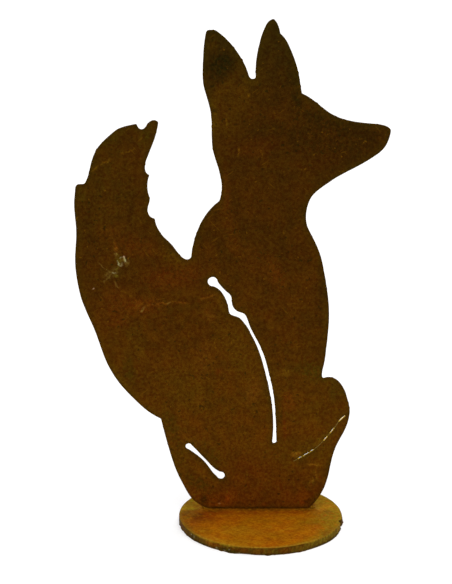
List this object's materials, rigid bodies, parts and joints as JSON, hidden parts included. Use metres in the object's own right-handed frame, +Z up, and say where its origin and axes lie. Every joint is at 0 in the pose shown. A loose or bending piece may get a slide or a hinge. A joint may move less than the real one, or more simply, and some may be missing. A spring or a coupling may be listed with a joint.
{
  "type": "garden fox silhouette figure",
  "caption": "Free-standing garden figure: a seated fox cut from flat rusted sheet steel, with two slots and a scored line, welded upright on a round rusted steel base plate.",
  "frame": {"origin": "centre of the round base plate's underside", "axes": "+Z up; +X the way the fox looks, along the sheet; -Y towards the side that is displayed"},
  "size_m": [0.2406, 0.13, 0.3936],
  "materials": {
    "fox_sheet": "matte",
    "base_plate": "matte",
    "weld": "matte"
  },
  "bodies": {
    "root": {"fox_silhouette": "fox_sheet", "base_plate": "base_plate", "left_weld": "weld", "right_weld": "weld"}
  },
  "joints": []
}
